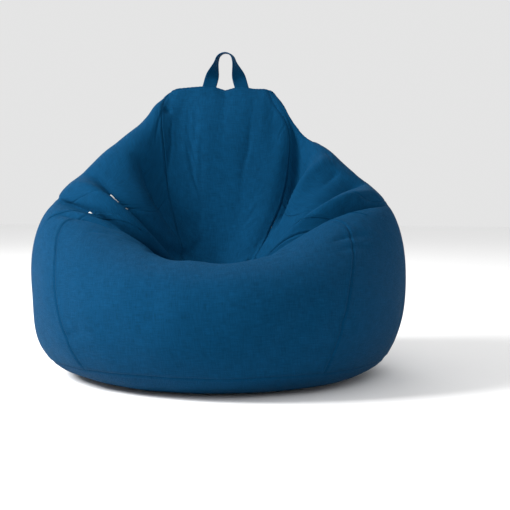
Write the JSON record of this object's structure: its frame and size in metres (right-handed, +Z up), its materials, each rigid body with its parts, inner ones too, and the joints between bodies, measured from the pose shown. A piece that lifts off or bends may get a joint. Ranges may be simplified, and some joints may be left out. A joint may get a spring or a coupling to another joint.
{
  "type": "bean bag chair",
  "caption": "Pear-shaped bean bag chair: sewn cloth cover with a raised backrest, a seat hollow, a strap carry loop and a rear zip over a zipped liner of beads.",
  "frame": {"origin": "on the floor under the middle of the bag, at the middle of its width and depth", "axes": "+Z up, -Y the side the sitter faces out of (the front wall and lip), +X along the width, towards the right of someone who looks at the front"},
  "size_m": [0.9146, 0.8949, 0.801],
  "materials": {
    "cover_cloth": "matte",
    "strap": "matte",
    "cover_zip_tape": "matte",
    "cover_zip_coil": "satin",
    "liner_zip_tape": "matte",
    "liner_zip_coil": "satin",
    "zip_metal": "satin",
    "liner_cloth": "matte",
    "beads": "matte"
  },
  "bodies": {
    "bag": {"cover_base_panel": "cover_cloth", "cover_front_panel": "cover_cloth", "cover_backrest_panel": "cover_cloth", "cover_left_side_panel": "cover_cloth", "cover_right_side_panel": "cover_cloth", "cover_left_wing_panel": "cover_cloth", "cover_right_wing_panel": "cover_cloth", "cover_rear_left_panel": "cover_cloth", "cover_rear_right_panel": "cover_cloth", "cover_top_binding": "cover_cloth", "cover_zip_tape_left": "cover_zip_tape", "cover_zip_coil_left": "cover_zip_coil", "cover_zip_tape_right": "cover_zip_tape", "cover_zip_coil_right": "cover_zip_coil", "cover_zip_top_stop": "zip_metal", "cover_zip_bottom_stop": "zip_metal", "liner_zip_tape_left": "liner_zip_tape", "liner_zip_coil_left": "liner_zip_coil", "liner_zip_tape_right": "liner_zip_tape", "liner_zip_coil_right": "liner_zip_coil", "liner_zip_top_stop": "zip_metal", "liner_zip_bottom_stop": "zip_metal", "liner_base": "liner_cloth", "liner_front_gore": "liner_cloth", "liner_left_gore": "liner_cloth", "liner_right_gore": "liner_cloth", "liner_rear_left_gore": "liner_cloth", "liner_rear_right_gore": "liner_cloth", "bead_filling": "beads"},
    "loop": {"carry_loop": "strap"},
    "cover_slider": {"cover_zip_slider": "zip_metal"},
    "cover_pull": {"cover_zip_pull": "zip_metal"},
    "liner_slider": {"liner_zip_slider": "zip_metal"}
  },
  "joints": [
    {"name": "loop_fold", "type": "hinge", "parent": "bag", "child": "loop", "pos_m": [0, 0.206, 0.7115], "axis": [1, 0, 0], "range_deg": [-90, 90]},
    {"name": "cover_zip_run", "type": "hinge", "parent": "bag", "child": "cover_slider", "pos_m": [0, -0.24832, 0.18], "axis": [1, 0, 0], "range_deg": [-32.7, 0]},
    {"name": "cover_pull_swing", "type": "hinge", "parent": "cover_slider", "child": "cover_pull", "pos_m": [0, 0.34724, 0.54959], "axis": [1, 0, 0], "range_deg": [0, 170]},
    {"name": "liner_zip_run", "type": "hinge", "parent": "bag", "child": "liner_slider", "pos_m": [0, -0.24832, 0.18], "axis": [1, 0, 0], "range_deg": [-23.2, 0]}
  ]
}
